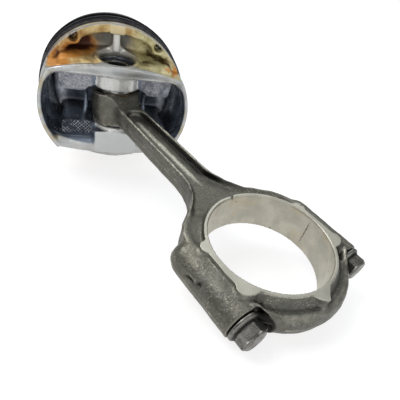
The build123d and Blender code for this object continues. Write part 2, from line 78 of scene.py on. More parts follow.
# Rod and cap, in ROD
BORE_RADIUS = mounts["big_end_bore"]["dims"]["r_mm"]
HALF_WIDTH = 10.0
EYE_X = -round(float(rod_length) * MM, 1)
EYE_CROWN_X = -164.3  # the small end is narrowest here
EYE_SHANK_X = -138.7  # and has its full width from here
EYE_CROWN_HALF_WIDTH = 5.2
EYE_HALF_WIDTH = 10.8
BUSHING_RADIUS = 12.0
BARREL_SPREAD = 34.5
BOLT_SEAT = 21.6
POCKET_RIM = 9.8
STRAP_START = (14, 19)  # the strap's own shape sets in between these two x
STRAP_RIB_RADIUS = 36.5
STRAP_VALLEY_RADIUS = 33.2
FORGING_VOXEL = 0.5
FORGING_SOFTENING = 34  # rounds of relaxing
SPLIT_GAP = 0.02

BOLT_VOXEL = 0.27
BOLT_SOFTENING = 2

# Piston, in PISTON
CROWN_HEIGHT = 30.0
POCKET_ROOF = 17.5
LEDGE_HEIGHT = 6.0  # underside of the ring belt, over the side walls
SHELF_HEIGHT = -6.5  # knurled corner shelves
RIM_HEIGHT = -9.0
SKIRT_END = -13.8
SKIRT_RADIUS = 46.97
LAND_RADIUS = 46.7
WALL_REACH = 28.2  # outside of each side wall, from the piston's axis
WALL_BOW = 134.0
BOSS_FACE = 12.6
CLIP_GROOVE_RADIUS = 11.75
CASTING_VOXEL = 0.5
CASTING_SOFTENING = 26

# Rounds of relaxing against which a point counts as standing out
RIDGE_ROUNDS = 14
BOLT_RIDGE_ROUNDS = 8


def to_local(points, part_frame):
    """Points of the shared frame, in a part's own millimetres."""
    origin, axes = part_frame
    return (points - origin) @ axes * MM


def to_shared(points, part_frame):
    """The other way round."""
    origin, axes = part_frame
    return points @ axes.T / MM + origin


def smoothstep(value, low, high):
    t = np.clip((value - low) / (high - low), 0.0, 1.0)
    return t * t * (3.0 - 2.0 * t)


def bell(value, middle, reach):
    """Soft bump, 1 at its middle."""
    return np.exp(-(((value - middle) / reach) ** 2))


def spot(points, centre, reach):
    """Soft round patch, 1 at its centre."""
    return np.exp(-(((points - np.array(centre)) / np.array(reach)) ** 2).sum(1))


def streak(points, start, stop, reach):
    """Soft patch along a line."""
    start, stop = np.array(start, float), np.array(stop, float)
    along = stop - start
    share = np.clip((points - start) @ along / (along @ along), 0, 1)
    away = np.linalg.norm(points - start - share[:, None] * along, axis=1)
    return np.exp(-((away / reach) ** 2))


# ---------------------------------------------------------------- mesh tools
def node_mesh(name):
    """A CAD node's vertices, in the shared frame and in metres, and its triangles."""
    mesh = nodes[name].data
    mesh.calc_loop_triangles()
    corners = np.empty(len(mesh.loop_triangles) * 3, np.int32)
    mesh.loop_triangles.foreach_get("vertices", corners)
    return mesh_points(mesh) / MM, corners.reshape(-1, 3)


def join(shapes):
    """One vertex list and one face list from several shapes."""
    points, faces, start = [], [], 0
    for shape_points, shape_faces in shapes:
        points.append(shape_points)
        faces += [[i + start for i in face] for face in shape_faces]
        start += len(shape_points)
    return np.vstack(points), faces


def sweep(path, radii, sides=20):
    """Closed tube along a path, with a dome at each end, in a part's own millimetres."""
    path = np.array(path, float)
    radii = np.array(radii, float)
    lead = path[0] - path[1]
    tail = path[-1] - path[-2]
    lead /= np.linalg.norm(lead)
    tail /= np.linalg.norm(tail)
    dome = np.radians([80, 55, 30])
    front = [path[0] + lead * radii[0] * math.sin(t) for t in dome]
    back = [path[-1] + tail * radii[-1] * math.sin(t) for t in dome[::-1]]
    line = np.vstack([front, path, back])
    sizes = np.concatenate([radii[0] * np.cos(dome), radii, radii[-1] * np.cos(dome[::-1])])
    points, faces = [], []
    turn = np.linspace(0, 2 * math.pi, sides, endpoint=False)
    for i, (centre, size) in enumerate(zip(line, sizes)):
        ahead = line[min(i + 1, len(line) - 1)] - line[max(i - 1, 0)]
        ahead /= np.linalg.norm(ahead)
        up = np.array([0, 0, 1.0]) if abs(ahead[2]) < 0.9 else np.array([1.0, 0, 0])
        across = np.cross(up, ahead)
        across /= np.linalg.norm(across)
        up = np.cross(ahead, across)
        points.append(centre + size * (np.outer(np.cos(turn), across) + np.outer(np.sin(turn), up)))
    rings = len(line)
    for i in range(rings - 1):
        for k in range(sides):
            n = (k + 1) % sides
            faces.append([i * sides + k, i * sides + n, (i + 1) * sides + n, (i + 1) * sides + k])
    faces.append(list(range(sides))[::-1])
    faces.append([(rings - 1) * sides + k for k in range(sides)])
    return np.vstack(points), faces


def fuse(points, faces, voxel):
    """Closed shapes fused into one even skin of small quads, as a mesh."""
    mesh = bpy.data.meshes.new("fused")
    mesh.from_pydata((points / MM).tolist(), [], faces)
    holder = bpy.data.objects.new("fused", mesh)
    bpy.context.scene.collection.objects.link(holder)
    remesh = holder.modifiers.new("remesh", "REMESH")
    remesh.mode = "VOXEL"
    remesh.voxel_size = voxel / MM
    remesh.use_smooth_shade = True
    graph = bpy.context.evaluated_depsgraph_get()
    result = bpy.data.meshes.new_from_object(holder.evaluated_get(graph))
    bpy.data.objects.remove(holder)
    bpy.data.meshes.remove(mesh)
    return result


def mesh_points(mesh):
    """A mesh's vertices, in millimetres."""
    points = np.empty(len(mesh.vertices) * 3)
    mesh.vertices.foreach_get("co", points)
    return points.reshape(-1, 3) * MM


def mesh_edges(mesh):
    """The two vertices of each edge."""
    ends = np.empty(len(mesh.edges) * 2, np.int32)
    mesh.edges.foreach_get("vertices", ends)
    return ends.reshape(-1, 2)


def relax(points, edges, weights, rounds, step=0.5):
    """Pull each point towards the middle of its neighbours, as far as its weight allows."""
    a, b = edges.T
    count = len(points)
    valence = np.bincount(a, minlength=count) + np.bincount(b, minlength=count)
    pull = (step * weights / np.maximum(valence, 1))[:, None]
    for _ in range(rounds):
        total = np.empty_like(points)
        for axis in range(3):
            column = points[:, axis]
            total[:, axis] = np.bincount(a, column[b], count) + np.bincount(b, column[a], count)
        points = points + pull * (total - valence[:, None] * points)
    return points


def set_points(mesh, points):
    mesh.vertices.foreach_set("co", (points / MM).ravel())
    mesh.update()


def point_normals(mesh, points):
    """Move the mesh's vertices to the points, and give the skin's direction at each."""
    set_points(mesh, points)
    normals = np.empty(len(mesh.vertices) * 3, np.float32)
    mesh.vertex_normals.foreach_get("vector", normals)
    return normals.reshape(-1, 3).astype(float)


def ridges(mesh, points, edges, rounds):
    """How far each point stands out of (+) or lies in (-) its surroundings, in millimetres."""
    soft = relax(points, edges, np.ones(len(points)), rounds)
    return ((points - soft) * point_normals(mesh, points)).sum(1)


def keep_fields(mesh, points, fields):
    """Store in the mesh its points and what its material has to know about each of them."""
    set_points(mesh, points)
    place = mesh.attributes.new("place", "FLOAT_VECTOR", "POINT")
    place.data.foreach_set("vector", np.asarray(points, np.float32).ravel())
    for name, values in fields.items():
        attribute = mesh.attributes.new(name, "FLOAT", "POINT")
        attribute.data.foreach_set("value", np.asarray(values, np.float32))


def ripple(points, size, seed):
    """Smooth uneven field of about -1 to 1 whose lumps are about size millimetres."""
    waves = 14
    rng = np.random.default_rng(seed)
    field = np.zeros(len(points))
    for _ in range(waves):
        way = rng.normal(size=3)
        way /= np.linalg.norm(way)
        field += np.sin(points @ way * (2 * math.pi / size) * rng.uniform(0.6, 1.5) + rng.uniform(0, 6.3))
    return field / 4.0


def add_piece(mesh, name, part_frame, body, replaced):
    """Put a mesh made in a part's own frame into the shared frame, as a piece on a body."""
    origin, axes = part_frame
    turn = Matrix([list(row) for row in axes]).to_4x4()
    turn.translation = Vector(origin)
    mesh.transform(turn)
    piece = bpy.data.objects.new(name, mesh)
    bpy.context.scene.collection.objects.link(piece)
    for polygon in mesh.polygons:
        polygon.use_smooth = True
    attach(piece, body)
    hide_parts(replaced)
    return piece


# ---------------------------------------------------------------- forged rod, cap and bolts
FLANGE_SWELL = [(-35, 19.6, 5.4), (-31, 23.2, 5.5), (-27, 28.0, 5.7), (-22, 31.4, 5.9), (-15, 33.6, 5.8)]
FLANGE_SWELL_RADII = [1.5, 1.8, 1.9, 2.0, 2.2]
STRAP_RIB_HEIGHT = 2.9
STRAP_RIB_POINTS = 16
BOLT_HOLE_FILLER = ((-17.0, 0.0, 16.5), 4.9)  # x of its points, and its radius
CHIPS = (((-3.0, -41.8, 3.0), (2.4, 1.2, 0.7)), ((1.4, -41.2, 4.4), (1.2, 1.2, 1.0)))  # centres and reaches


def forged_shapes():
    """CAD rod and cap with the swells that a forging has between its flanges, barrels and strap."""
    shapes = []
    for name in ("connecting_rod", "rod_cap"):
        points, faces = node_mesh(name)
        shapes.append((to_local(points, ROD), faces))
    turn = np.radians(np.append(0, np.linspace(4, 58, STRAP_RIB_POINTS)))
    height = np.full(len(turn), STRAP_RIB_HEIGHT)
    rib = np.column_stack([STRAP_RIB_RADIUS * np.cos(turn), STRAP_RIB_RADIUS * np.sin(turn), height])
    rib_radii = np.append(2.5, np.linspace(2.5, 2.2, STRAP_RIB_POINTS))
    filler_x, filler_radius = BOLT_HOLE_FILLER
    for way_y in (1, -1):
        for way_z in (1, -1):
            way = np.array([1, way_y, way_z])
            shapes.append(sweep(np.array(FLANGE_SWELL) * way, FLANGE_SWELL_RADII))
            shapes.append(sweep(rib * way, rib_radii))
        # The bolts fill their holes.
        filler = [(x, way_y * BARREL_SPREAD, 0) for x in filler_x]
        shapes.append(sweep(filler, [filler_radius] * len(filler)))
    return join(shapes)


def from_bolt_axis(p):
    """How far points are from the nearer bolt's axis."""
    return np.hypot(np.abs(p[:, 1]) - BARREL_SPREAD, p[:, 2])


def hollow_strap(p):
    """A hollow runs round the strap beside the thrust face, but not under the cap's small ear."""
    x, y, z = p.T
    radius = np.hypot(x, y)
    height = np.abs(z)
    floor = 5.3 + 3.4 * (1 - smoothstep(radius, 31.0, 33.4)) + 9 * smoothstep(radius, 34.6, 36.4)
    in_strap = smoothstep(x, *STRAP_START) * (radius > 31.3) * (height < 9.4) * (height > 2)
    ear = (np.abs(y + 1.4) < 3.2) & (x > 28)
    lowered = np.where(ear, height, np.minimum(height, floor))
    p[:, 2] = np.sign(z) * (in_strap * lowered + (1 - in_strap) * height)


def true_up(p):
    """Put the machined faces and the big end's bore back in place, and say which points are machined."""
    x, y, z = p.T
    radius = np.hypot(x, y)
    eye_radius = np.hypot(x - EYE_X, y)
    faced = (np.abs(z) > HALF_WIDTH - 0.45) & (radius < 40)
    p[faced, 2] = np.sign(z[faced]) * HALF_WIDTH
    bored = (radius < BORE_RADIUS + 0.32) & (np.abs(z) < 9.3)
    scale = BORE_RADIUS / radius[bored]
    p[bored, 0] *= scale
    p[bored, 1] *= scale
    chamfered = (radius < BORE_RADIUS + 0.9) & (np.abs(z) >= 9.3)
    # The small end's faces slope together towards the crown.
    slope = (EYE_HALF_WIDTH - EYE_CROWN_HALF_WIDTH) / (EYE_SHANK_X - EYE_CROWN_X)
    half_width = np.minimum(EYE_CROWN_HALF_WIDTH + slope * (x - EYE_CROWN_X), EYE_HALF_WIDTH)
    eye_faced = (np.abs(z) > half_width - 0.4) & (eye_radius < 16) & (x < -139.5)
    p[eye_faced, 2] = np.sign(z[eye_faced]) * half_width[eye_faced]
    eye_bored = eye_radius < BUSHING_RADIUS + 0.4
    return faced | bored | chamfered | eye_faced | eye_bored


def forging_shade(p, machined):
    """Painted shade in the bolts' pockets, inside the flanges, beside the eye and in the strap's valley."""
    x, y, z = p.T
    height = np.abs(z)
    pocket = 1 - smoothstep(from_bolt_axis(p), POCKET_RIM - 0.1, POCKET_RIM + 0.35)
    pocket *= smoothstep(x, BOLT_SEAT + 0.3, BOLT_SEAT + 1.0)
    flange_height = 6.0 + 1.6 * smoothstep(x, -60, -34)
    shank_half_width = np.interp(x, [-149, -60, -48, -31], [8.0, 8.9, 12.5, 23.6])
    wall = bell(np.abs(y) - shank_half_width, -3.4, 1.7) * (height < flange_height - 0.4)
    wall *= smoothstep(x, -128, -118) * (1 - smoothstep(x, -52, -36))
    beside_eye = 0.72 * smoothstep(-x, 145, 156) * (np.hypot(x - EYE_X, y) > 13) * ~machined
    valley = bell(np.hypot(x, y), STRAP_VALLEY_RADIUS, 1.3) * smoothstep(x, *STRAP_START) * (height > 3)
    return np.maximum.reduce([pocket, wall, beside_eye, 0.22 * valley * ~machined])


def forge():
    """Rod and cap as one forging: one smooth skin, with flat machined faces and a round big end."""
    mesh = fuse(*forged_shapes(), FORGING_VOXEL)
    p = mesh_points(mesh)
    edges = mesh_edges(mesh)
    hollow_strap(p)
    machined = true_up(p)
    weights = np.where(machined, 0.0, 1.0)
    seat = (p[:, 0] > BOLT_SEAT - 1.1) & (from_bolt_axis(p) < POCKET_RIM + 0.8)
    weights[seat] *= 0.05
    p = relax(p, edges, weights, FORGING_SOFTENING)
    # Painted shade in the pockets, inside the flanges, beside the eye and in the strap's valley.
    oil = forging_shade(p, machined)

    x, y, z = p.T
    radius = np.hypot(x, y)
    on_barrel = from_bolt_axis(p) < 13
    # Painted highlight along the top of the strap's rib.
    crest_highlight = bell(radius, STRAP_RIB_RADIUS - 0.2, 1.1) * smoothstep(x, *STRAP_START) * (np.abs(z) > 2.5)
    # The web swells a little along its middle, where it is painted paler as a highlight.
    swell = bell(y, -0.5, 1.9) * smoothstep(x, -124, -112) * (1 - smoothstep(x, -62, -42))
    swell *= weights * (np.abs(z) < 4.5)
    p[:, 2] += np.sign(z) * 0.55 * swell
    # Long soft unevenness of the die, the flash line where its halves met, and two chips at the split,
    # on the near barrel's outer edge.
    rough = weights * (0.09 * ripple(p, 9.0, 11) + 0.035 * ripple(p, 3.4, 12))
    normals = point_normals(mesh, p)
    flash = bell(z, 0.1, 0.75) * weights * (np.abs(normals[:, 2]) < 0.75) * (radius > 33)
    flash *= 0.20 + 0.06 * ripple(p, 7.0, 13)
    chips = sum(spot(p, centre, reach) for centre, reach in CHIPS)
    p = p + normals * (rough + flash - 0.9 * chips)[:, None]

    stand = ridges(mesh, p, edges, RIDGE_ROUNDS)
    stand = np.where(stand > 0, stand * (1 - 0.6 * (p[:, 0] > 17) * on_barrel), stand)
    fields = {
        "machined": machined,
        "faced": machined & (np.abs(np.abs(p[:, 2]) - HALF_WIDTH) < 0.2),
        # The ridge also carries painted highlights on the web's swell and the strap's rib.
        "ridge": stand + 0.22 * swell + 0.13 * crest_highlight * weights,
        "chip": np.clip(chips, 0, 1),
        "oil": oil,
    }
    keep_fields(mesh, p, fields)
    return mesh


def half_of(mesh, name, side):
    """The part of the forging on one side of the split: 1 for the cap's, -1 for the rod's."""
    shape = bmesh.new()
    shape.from_mesh(mesh)
    bmesh.ops.bisect_plane(
        shape,
        geom=shape.verts[:] + shape.edges[:] + shape.faces[:],
        plane_co=(side * SPLIT_GAP / MM, 0, 0),
        plane_no=(-side, 0, 0),
        clear_outer=True,
        dist=1e-7,
    )
    rim = [edge for edge in shape.edges if len(edge.link_faces) == 1]
    for edge in rim:
        edge.smooth = False
    bmesh.ops.triangle_fill(shape, edges=rim, use_beauty=True, normal=(-side, 0, 0))
    half = bpy.data.meshes.new(name)
    shape.to_mesh(half)
    shape.free()
    return half


def worn_bolt(name):
    """Cap bolt with the edges of its head and flange rounded by spanners."""
    points, faces = node_mesh(name)
    mesh = fuse(to_local(points, ROD), faces, BOLT_VOXEL)
    p = mesh_points(mesh)
    edges = mesh_edges(mesh)
    p = relax(p, edges, np.ones(len(p)), BOLT_SOFTENING)
    stand = ridges(mesh, p, edges, BOLT_RIDGE_ROUNDS)
    # Painted shade in the corner between the head and its flange, and under the flange.
    from_axis = from_bolt_axis(p)
    height = p[:, 0] - BOLT_SEAT
    corner = smoothstep(from_axis, 5.3, 5.7) * (1 - smoothstep(from_axis, 6.6, 7.0)) * (height < 3.4)
    under = smoothstep(from_axis, 6.0, 6.4) * (1 - smoothstep(height, 0.5, 0.9))
    keep_fields(mesh, p, {"ridge": stand, "oil": np.maximum(corner, under)})
    return add_piece(mesh, "worn_" + name, ROD, "rod", name)


forging = forge()
rod_half = half_of(forging, "forged_rod", -1)
cap_half = half_of(forging, "forged_cap", 1)
rod_piece = add_piece(rod_half, "forged_rod", ROD, "rod", "connecting_rod")
cap_piece = add_piece(cap_half, "forged_cap", ROD, "rod", "rod_cap")
bolts = [worn_bolt(name) for name in ("cap_bolt_near", "cap_bolt_far")]


# ---------------------------------------------------------------- cast piston
def zones(p):
    """Where the piston is bare, stained, soot-black, knurled or burnt, and where highlights, reflections and shade
    are painted, as shares from 0 to 1.
    """
    a, b, c = p.T
    reach = np.abs(a)
    radius = np.hypot(a, b)
    pin_radius = np.hypot(b, c)
    wall = WALL_REACH - WALL_BOW + np.sqrt(WALL_BOW**2 - np.minimum(np.abs(b), 50) ** 2)
    outer = smoothstep(reach, wall - 2.2, wall - 1.4)
    outside = outer * (1 - smoothstep(radius, LAND_RADIUS - 0.2, LAND_RADIUS + 0.2))
    outside *= smoothstep(c, RIM_HEIGHT + 0.2, RIM_HEIGHT + 0.8)
    outside *= 1 - smoothstep(c, POCKET_ROOF + 0.7, POCKET_ROOF + 1.5)
    outside *= 1 - (a < 0) * smoothstep(radius, 41.0, 43.0)
    inside = (1 - outer) * (1 - smoothstep(radius, LAND_RADIUS - 1.5, LAND_RADIUS - 0.9))
    inside *= (c < 23.0) * smoothstep(c, SKIRT_END + 0.1, SKIRT_END + 0.9)
    # Stains wander, and are alike on the upper and the lower wall.
    drift = np.column_stack([ripple(p, 9.0, seed) + 0.5 * ripple(p, 3.5, seed + 5) for seed in (31, 32, 33)])
    stain = np.abs(p) * (1, 0, 0) + p * (0, 1, 1) + 1.2 * drift
    # The inside is alike on both sides of the rod.
    fold = p * (1, 0, 1) + np.abs(p) * (0, 1, 0)
    rib_half = 2.1 + 3.6 * (1 - smoothstep(reach, 29.2, 33.5)) * (c < 15.5)
    rib = (1 - smoothstep(np.abs(b), rib_half - 0.3, rib_half + 0.9)) * smoothstep(reach, 28.8, 29.4)
    rib *= smoothstep(c, 6.6, 8.4) * (1 - 0.45 * smoothstep(np.abs(b), 0.6, 2.2))
    # Painted highlight on the top of the ring round the pin bore.
    ring_highlight = bell(pin_radius, 13.6, 1.8) * smoothstep(c, 2, 8)
    ring_highlight *= smoothstep(reach, 27.6, 28.6) * (1 - smoothstep(reach, 30.0, 32.0))
    middle = smoothstep(16.0 - np.abs(stain[:, 1] + 1.0), 0, 8) * (1 - smoothstep(radius, 40.5, 42.0))
    burn = streak(stain, (25, -32, 8), (31, -18, 18), 5.2) + 0.8 * spot(stain, (38, -25.5, 6), (4, 3, 4))
    orange = spot(stain, (23, -37, 3), (7, 8, 9)) + streak(stain, (22.5, 40, 8), (26, 33, -4), 3.4)
    orange += 0.8 * streak(stain, (26.5, -32, -4), (31, -17, 14), 7.0)
    dark = streak(stain, (28.8, 21, 18), (25, 33.5, 2), 2.8) + 0.7 * spot(stain, (27.5, 18, 2), (3, 3, 5))
    # Painted reflections: light streaks on the inner walls and on the roof.
    painted_sheen = streak(fold, (3, 43.5, 17.5), (-17, 40, 17.5), 2.2)
    painted_sheen += 0.6 * streak(fold, (9, 40, 9), (-6, 41, 11), 3.0)
    painted_sheen += streak(fold, (5, 34, 22.5), (-14, 34.5, 22.5), 2.4)
    lip_start = np.where(a > 0, 17.0, 24.0)
    shelf = (1 - smoothstep(np.abs(c - SHELF_HEIGHT), 0.6, 1.2)) * smoothstep(np.abs(b), 14.4, 15.6)
    ledge = smoothstep(radius, 41.6, 42.6) * (1 - smoothstep(np.abs(c - LEDGE_HEIGHT), 0.8, 1.6))
    ledge_pad = (1 - smoothstep(np.abs(b), 4.0, 4.8)) * smoothstep(a, 40.9, 41.4) * (c < 9.0)
    found = {
        "outside": outside,
        "inside": inside,
        "burn": burn,
        "orange": orange,
        "streak": dark,
        "clean": middle * smoothstep(c, -9, 6),
        # Bare rib painted brighter than its shade, and the ring's painted highlight.
        "silver": np.maximum(rib, ring_highlight) * outside * (a > 0),
        "ledge": outside * ledge,
        "ledge_pad": outside * ledge_pad,
        "boss": inside * (pin_radius < 14.6) * smoothstep(reach, BOSS_FACE - 0.6, BOSS_FACE + 0.2) * (c < 4),
        "knurl": inside * shelf,
        "lip": inside * (1 - smoothstep(c, -9.0, -7.0)) * smoothstep(reach, lip_start, lip_start + 2.5),
        "sheen": inside * painted_sheen,
        "shade": inside * 1.2 * spot(fold, (-18, 31, 19), (8, 10, 9)),
        "pad": (a < -13) & (np.abs(b) < 13.6) & (c < SKIRT_END + 0.8),
        "crown": smoothstep(c, CROWN_HEIGHT - 3, CROWN_HEIGHT - 2),
    }
    return {name: np.clip(share, 0, 1) for name, share in found.items()}


SHELF_WEB = [(13, 22, -4.5), (9, 20, -0.5), (5, 19.0, 2.4), (0, 18.7, 3.4)]  # one half of it
SHELF_WEB_RADII = [2.4, 1.9, 1.7, 1.7]
RIB_FOOT = [(29.0, 5.6, 14.2), (31.0, 3.2, 13.2), (34.0, 1.6, 12.4)]
RIB_FOOT_RADII = [1.5, 1.5, 1.2]


def cast_shapes():
    """CAD piston with webs between its corner shelves and with ribs that spread at the boss."""
    points, faces = node_mesh("piston")
    shapes = [(to_local(points, PISTON), faces)]
    half_web = np.array(SHELF_WEB)
    web = np.vstack([half_web, half_web[-2::-1] * (-1, 1, 1)])
    web_radii = SHELF_WEB_RADII + SHELF_WEB_RADII[-2::-1]
    for way in (1, -1):
        shapes.append(sweep(web * (1, way, 1), web_radii))
        for side in (1, -1):
            shapes.append(sweep(np.array(RIB_FOOT) * (side, way, 1), RIB_FOOT_RADII))
    return join(shapes)


def cast():
    """Piston with soft cast insides. Skirt and lands get their exact radii back, while the other turned
    surfaces, ring grooves and pin bore among them, stay as they were fused, true to about a voxel."""
    mesh = fuse(*cast_shapes(), CASTING_VOXEL)
    p = mesh_points(mesh)
    edges = mesh_edges(mesh)
    a, b, c = p.T
    radius = np.hypot(a, b)
    pin_radius = np.hypot(b, c)
    outermost = radius > LAND_RADIUS - 0.5
    skirt = outermost & (c < LEDGE_HEIGHT + 0.2)
    lands = outermost & (c > LEDGE_HEIGHT + 1.6)
    for part, turned_radius in ((skirt, SKIRT_RADIUS), (lands, LAND_RADIUS)):
        p[part, 0] *= turned_radius / radius[part]
        p[part, 1] *= turned_radius / radius[part]
    # The rim rolls over into the mouth, most of all beside the balance pad.
    away = smoothstep(np.abs(b), 13.0, 16.0)
    fall = np.where(a > 0, 1.3, 3.4 * away) * smoothstep(28.5 - np.abs(a), 0.0, 8.0) ** 1.5
    p[:, 2] += fall * (c < -9.5) * (1 - smoothstep(c, -13.0, -9.5)) * (radius < 44)

    turned = (radius > LAND_RADIUS - 0.8) | ((radius > 42.2) & (c > 9.5)) | (c > CROWN_HEIGHT - 3)
    pad = (np.abs(a) > 28.6) & (pin_radius < 14.2)
    pin_bore = (pin_radius < CLIP_GROOVE_RADIUS + 0.2) & (np.abs(a) > BOSS_FACE - 0.4)
    boss_face = (np.abs(np.abs(a) - BOSS_FACE) < 0.45) & (pin_radius < 15)
    weights = np.ones(len(p))
    weights[turned | pin_bore] = 0.0
    weights[pad | boss_face] = 0.08
    weights[(c < SKIRT_END + 0.5) & ~turned] = 0.35
    p = relax(p, edges, weights, CASTING_SOFTENING)
    as_cast = np.where(weights > 0.9, 1.0, 0.0)
    rough = as_cast * (0.06 * ripple(p, 11.0, 21) + 0.03 * ripple(p, 4.0, 22))
    p = p + point_normals(mesh, p) * rough[:, None]
    stand = ridges(mesh, p, edges, RIDGE_ROUNDS)
    keep_fields(mesh, p, {"machined": 1 - as_cast, "ridge": stand} | zones(p))
    return mesh


piston_piece = add_piece(cast(), "piston_casting", PISTON, "piston", "piston")


# ---------------------------------------------------------------- materials
class Shade:
    """A node material under construction. Lengths are in millimetres."""

    def __init__(self, name):
        self.material = bpy.data.materials.new(name)
        self.material.use_nodes = True
        self.tree = self.material.node_tree
        self.tree.nodes.clear()
        self.out = self.tree.nodes.new("ShaderNodeOutputMaterial")
        self.shader = self.tree.nodes.new("ShaderNodeBsdfPrincipled")
        self.link(self.shader.outputs[0], self.out.inputs[0])

    def link(self, source, target):
        """Feed an input from another node's output, or with a number or a colour."""
        if isinstance(source, bpy.types.NodeSocket):
            self.tree.links.new(source, target)
        elif hasattr(target.default_value, "__len__") and not isinstance(source, (int, float)):
            target.default_value = (*source, 1.0) if len(source) < len(target.default_value) else source
        else:
            target.default_value = source

    def node(self, kind, settings=None, **sockets):
        node = self.tree.nodes.new("ShaderNode" + kind)
        for key, value in (settings or {}).items():
            setattr(node, key, value)
        for key, value in sockets.items():
            self.link(value, node.inputs[key.replace("_", " ")])
        return node

    def place(self):
        """Coordinates in the part's own frame, as kept in the mesh."""
        return self.node("Attribute", {"attribute_name": "place"}).outputs["Vector"]

    def object_mm(self):
        """Coordinates in the shared frame at rest."""
        coordinates = self.node("TexCoord").outputs["Object"]
        scaled = self.node("VectorMath", {"operation": "SCALE"}, Vector=coordinates)
        scaled.inputs["Scale"].default_value = MM
        return scaled.outputs[0]

    def field(self, name):
        """What the mesh keeps under a name, point by point."""
        return self.node("Attribute", {"attribute_name": name}).outputs["Fac"]

    def math(self, operation, a, b=0.0):
        node = self.node("Math", {"operation": operation})
        self.link(a, node.inputs[0])
        self.link(b, node.inputs[1])
        return node.outputs[0]

    def times(self, a, b):
        return self.math("MULTIPLY", a, b)

    def absolute(self, value):
        return self.math("ABSOLUTE", value)

    def span(self, value, low, high, start=0.0, stop=1.0):
        """Value's place between low and high, smoothly."""
        node = self.node("MapRange", {"interpolation_type": "SMOOTHSTEP"})
        for i, item in enumerate((value, low, high, start, stop)):
            self.link(item, node.inputs[i])
        return node.outputs[0]

    def noise(self, vector, size, detail=4.0, roughness=0.55, stretch=None):
        """Cloudy noise whose lumps are about size millimetres."""
        if stretch is not None:
            vector = self.node("Mapping", Vector=vector, Scale=stretch).outputs[0]
        settings = {"Scale": 1.0 / size, "Detail": detail, "Roughness": roughness}
        return self.node("TexNoise", Vector=vector, **settings).outputs["Fac"]

    def axes(self, vector):
        return self.node("SeparateXYZ", Vector=vector).outputs

    def ragged(self, name, cloud):
        """A zone whose edge is eaten away unevenly."""
        bite = self.times(self.math("SUBTRACT", cloud, 0.5), 0.9)
        return self.span(self.math("SUBTRACT", self.field(name), bite), 0.05, 0.75)

    def hatch(self, vector, pitch):
        """Crossed lines of a knurl, 1 on the lines."""
        along, across, _ = self.axes(vector)
        lines = []
        for way in (1.0, -1.0):
            slant = self.math("ADD", along, self.times(across, way))
            wave = self.absolute(self.math("SINE", self.times(slant, math.pi / pitch)))
            lines.append(self.span(wave, 0.34, 0.08))
        return self.math("MAXIMUM", *lines)

    def cells(self, vector, size, feature="F1"):
        """How far it is to the middle, or with another feature to the edge, of cells of about this size."""
        cells = self.node("TexVoronoi", {"feature": feature}, Vector=vector, Scale=1.0 / size)
        return cells.outputs["Distance"]

    def mix(self, share, a, b):
        """Colour a where the share is 0, colour b where it is 1."""
        node = self.node("Mix", {"data_type": "RGBA"})
        self.link(share, node.inputs[0])
        self.link(a, node.inputs[6])
        self.link(b, node.inputs[7])
        return node.outputs[2]

    def blend(self, share, a, b):
        """Number a where the share is 0, number b where it is 1."""
        node = self.node("Mix", {"data_type": "FLOAT"})
        self.link(share, node.inputs[0])
        self.link(a, node.inputs[2])
        self.link(b, node.inputs[3])
        return node.outputs[0]

    def bump(self, height, depth, before=None):
        """Relief whose height of 1 stands depth millimetres high."""
        node = self.node("Bump", Height=height)
        node.inputs["Distance"].default_value = depth / MM
        if before is not None:
            self.link(before, node.inputs["Normal"])
        return node.outputs[0]

    def finish(self, **sockets):
        """Set the shader's own inputs, and give the finished material."""
        for key, value in sockets.items():
            self.link(value, self.shader.inputs[key.replace("_", " ")])
        return self.material


def forged_skin(m, at, grain, patch, speck):
    """Rough dark forging: paler where it stands out, partly from wear and partly as painted highlight, with
    painted glints, and painted shade in its hollows and pockets.
    """
    ridge = m.field("ridge")
    steel = m.mix(m.span(patch, 0.32, 0.70), (0.118, 0.114, 0.093), (0.192, 0.185, 0.155))
    steel = m.mix(m.span(m.noise(at, 26.0, 3.0), 0.35, 0.65), steel, (0.150, 0.148, 0.130))
    steel = m.mix(m.span(grain, 0.35, 0.75, 0.0, 0.50), steel, (0.065, 0.062, 0.050))
    # Standing edges paler, partly from wear and partly as painted highlight.
    worn_and_highlit = m.times(m.span(ridge, 0.05, 0.28), m.span(grain, 0.20, 0.55))
    steel = m.mix(worn_and_highlit, steel, (0.50, 0.485, 0.41))
    # Painted glints on small grains.
    glint = m.times(m.span(speck, 0.34, 0.14), m.span(m.noise(at, 5.0, 3.0), 0.44, 0.60))
    steel = m.mix(m.times(glint, 0.60), steel, (0.52, 0.50, 0.42))
    # Painted highlight along the tops of the bolt barrels.
    _, aside, height = m.axes(at)
    from_crest = m.absolute(m.math("SUBTRACT", m.absolute(aside), 35.0))
    crest_highlight = m.times(m.span(from_crest, 4.5, 1.0), m.span(m.absolute(height), 4.0, 7.0))
    crest_highlight = m.times(crest_highlight, m.span(grain, 0.35, 0.60, 0.05, 0.40))
    steel = m.mix(crest_highlight, steel, (0.42, 0.40, 0.33))
    # Painted shade in the hollows.
    steel = m.mix(m.span(ridge, -0.10, -0.45), steel, (0.032, 0.030, 0.025))
    # Painted shade in the bolts' pockets, inside the flanges, beside the eye and in the strap's valley.
    steel = m.mix(m.times(m.field("oil"), 0.93), steel, (0.010, 0.010, 0.010))
    return m.mix(m.times(m.field("chip"), 0.92), steel, (0.006, 0.006, 0.006))


